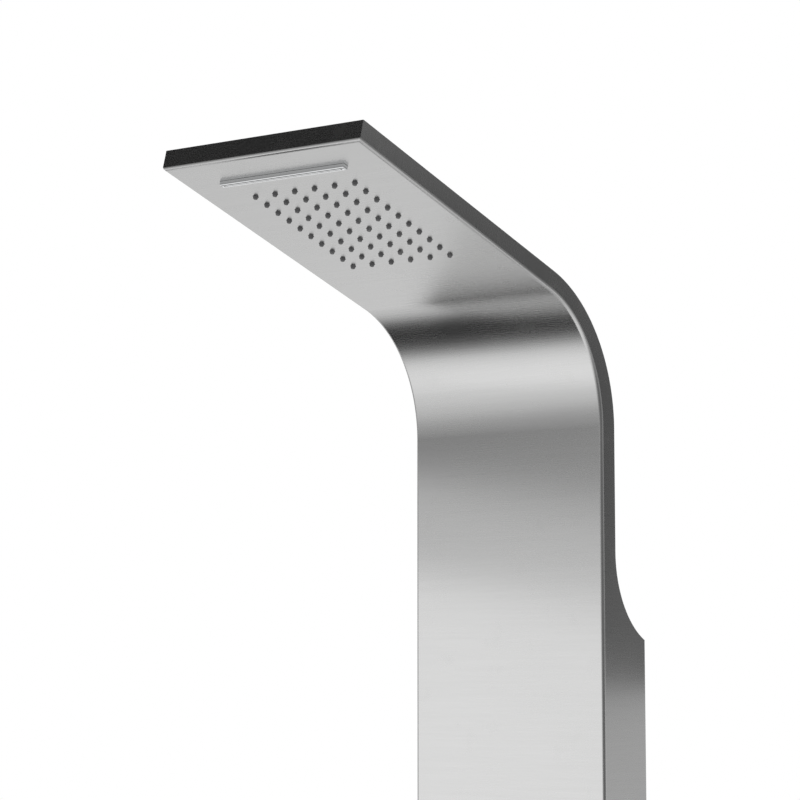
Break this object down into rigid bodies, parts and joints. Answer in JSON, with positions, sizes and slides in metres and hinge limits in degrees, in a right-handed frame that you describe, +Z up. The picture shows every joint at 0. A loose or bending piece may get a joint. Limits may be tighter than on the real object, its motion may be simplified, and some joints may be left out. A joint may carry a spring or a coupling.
{
  "type": "rainfall shower column",
  "caption": "Wall-hung brushed steel shower column that bends forward into a flat rain head with a nozzle grid and a waterfall outlet.",
  "frame": {"origin": "centre of the upper wall bracket's back face, on the wall", "axes": "+Z up, +Y into the wall, +X to the right of someone who faces the column"},
  "size_m": [0.2, 0.4427, 1.5],
  "materials": {
    "brushed_panel": "brushed along the length, satin",
    "brushed_cover": "brushed, satin",
    "spout_chrome": "polished",
    "control_chrome": "polished",
    "knob_cap": "spun, fine rings",
    "silicone": "matte",
    "white_plastic": "moulded, fine texture",
    "cartridge_plastic": "moulded",
    "strainer_plastic": "moulded mesh",
    "button_red": "gloss",
    "valve_brass": "cast and machined",
    "zinc_plate": "zinc plated",
    "cover_screw": "turned stainless",
    "crimp_ferrule": "pressed stainless",
    "braid": "stainless braid over a rubber tube"
  },
  "bodies": {
    "column": {"panel_shell": "brushed_panel", "head_top_cover": "brushed_cover", "waterfall_spout": "spout_chrome", "nozzle_mat": "silicone", "rain_chamber": "white_plastic", "waterfall_chamber": "white_plastic", "valve_body": "valve_brass", "temperature_cartridge": "cartridge_plastic", "diverter_cartridge": "cartridge_plastic", "temperature_cartridge_nut": "valve_brass", "diverter_cartridge_nut": "valve_brass", "temperature_mounting_nut": "valve_brass", "diverter_mounting_nut": "valve_brass", "temperature_trim_ring": "control_chrome", "diverter_trim_ring": "control_chrome", "hot_inlet_strainer": "strainer_plastic", "cold_inlet_strainer": "strainer_plastic", "head_cover_tab_left": "zinc_plate", "head_cover_tab_right": "zinc_plate", "neck_cover_tab_left": "zinc_plate", "neck_cover_tab_right": "zinc_plate", "upper_hanger_rail": "zinc_plate", "lower_hanger_rail": "zinc_plate", "upper_wall_bracket": "zinc_plate", "lower_wall_bracket": "zinc_plate", "rain_chamber_screw_1": "zinc_plate", "rain_chamber_screw_2": "zinc_plate", "rain_chamber_screw_3": "zinc_plate", "rain_chamber_screw_4": "zinc_plate", "waterfall_chamber_screw_1": "zinc_plate", "waterfall_chamber_screw_2": "zinc_plate", "waterfall_chamber_screw_3": "zinc_plate", "waterfall_chamber_screw_4": "zinc_plate", "head_cover_screw_left": "cover_screw", "head_cover_screw_right": "cover_screw", "neck_cover_screw_left": "cover_screw", "neck_cover_screw_right": "cover_screw", "rain_hose": "braid", "rain_hose_lower_ferrule": "crimp_ferrule", "rain_hose_upper_ferrule": "crimp_ferrule", "rain_hose_nut": "valve_brass", "waterfall_hose": "braid", "waterfall_hose_lower_ferrule": "crimp_ferrule", "waterfall_hose_upper_ferrule": "crimp_ferrule", "waterfall_hose_nut": "valve_brass"},
    "temperature_control": {"temperature_knob": "control_chrome", "temperature_spindle": "valve_brass", "temperature_knob_screw": "zinc_plate", "temperature_knob_cap": "knob_cap", "button_spring": "zinc_plate"},
    "safety_button": {"safety_button": "button_red"},
    "diverter_control": {"diverter_knob": "control_chrome", "diverter_spindle": "valve_brass", "diverter_knob_screw": "zinc_plate", "diverter_knob_cap": "knob_cap"}
  },
  "joints": [
    {"name": "temperature_turn", "type": "hinge", "parent": "column", "child": "temperature_control", "pos_m": [0, -0.094, -0.64166], "axis": [0, -1, 0], "range_deg": [-180, 60]},
    {"name": "button_press", "type": "slide", "parent": "temperature_control", "child": "safety_button", "axis": [0, 0, -1], "range_m": [0, 0.002], "stiffness_N_per_m": 1500, "springref_m": -0.002, "deforming": ["button_spring"]},
    {"name": "diverter_turn", "type": "hinge", "parent": "column", "child": "diverter_control", "pos_m": [0, -0.094, -0.51166], "axis": [0, -1, 0], "range_deg": [-90, 90]}
  ]
}
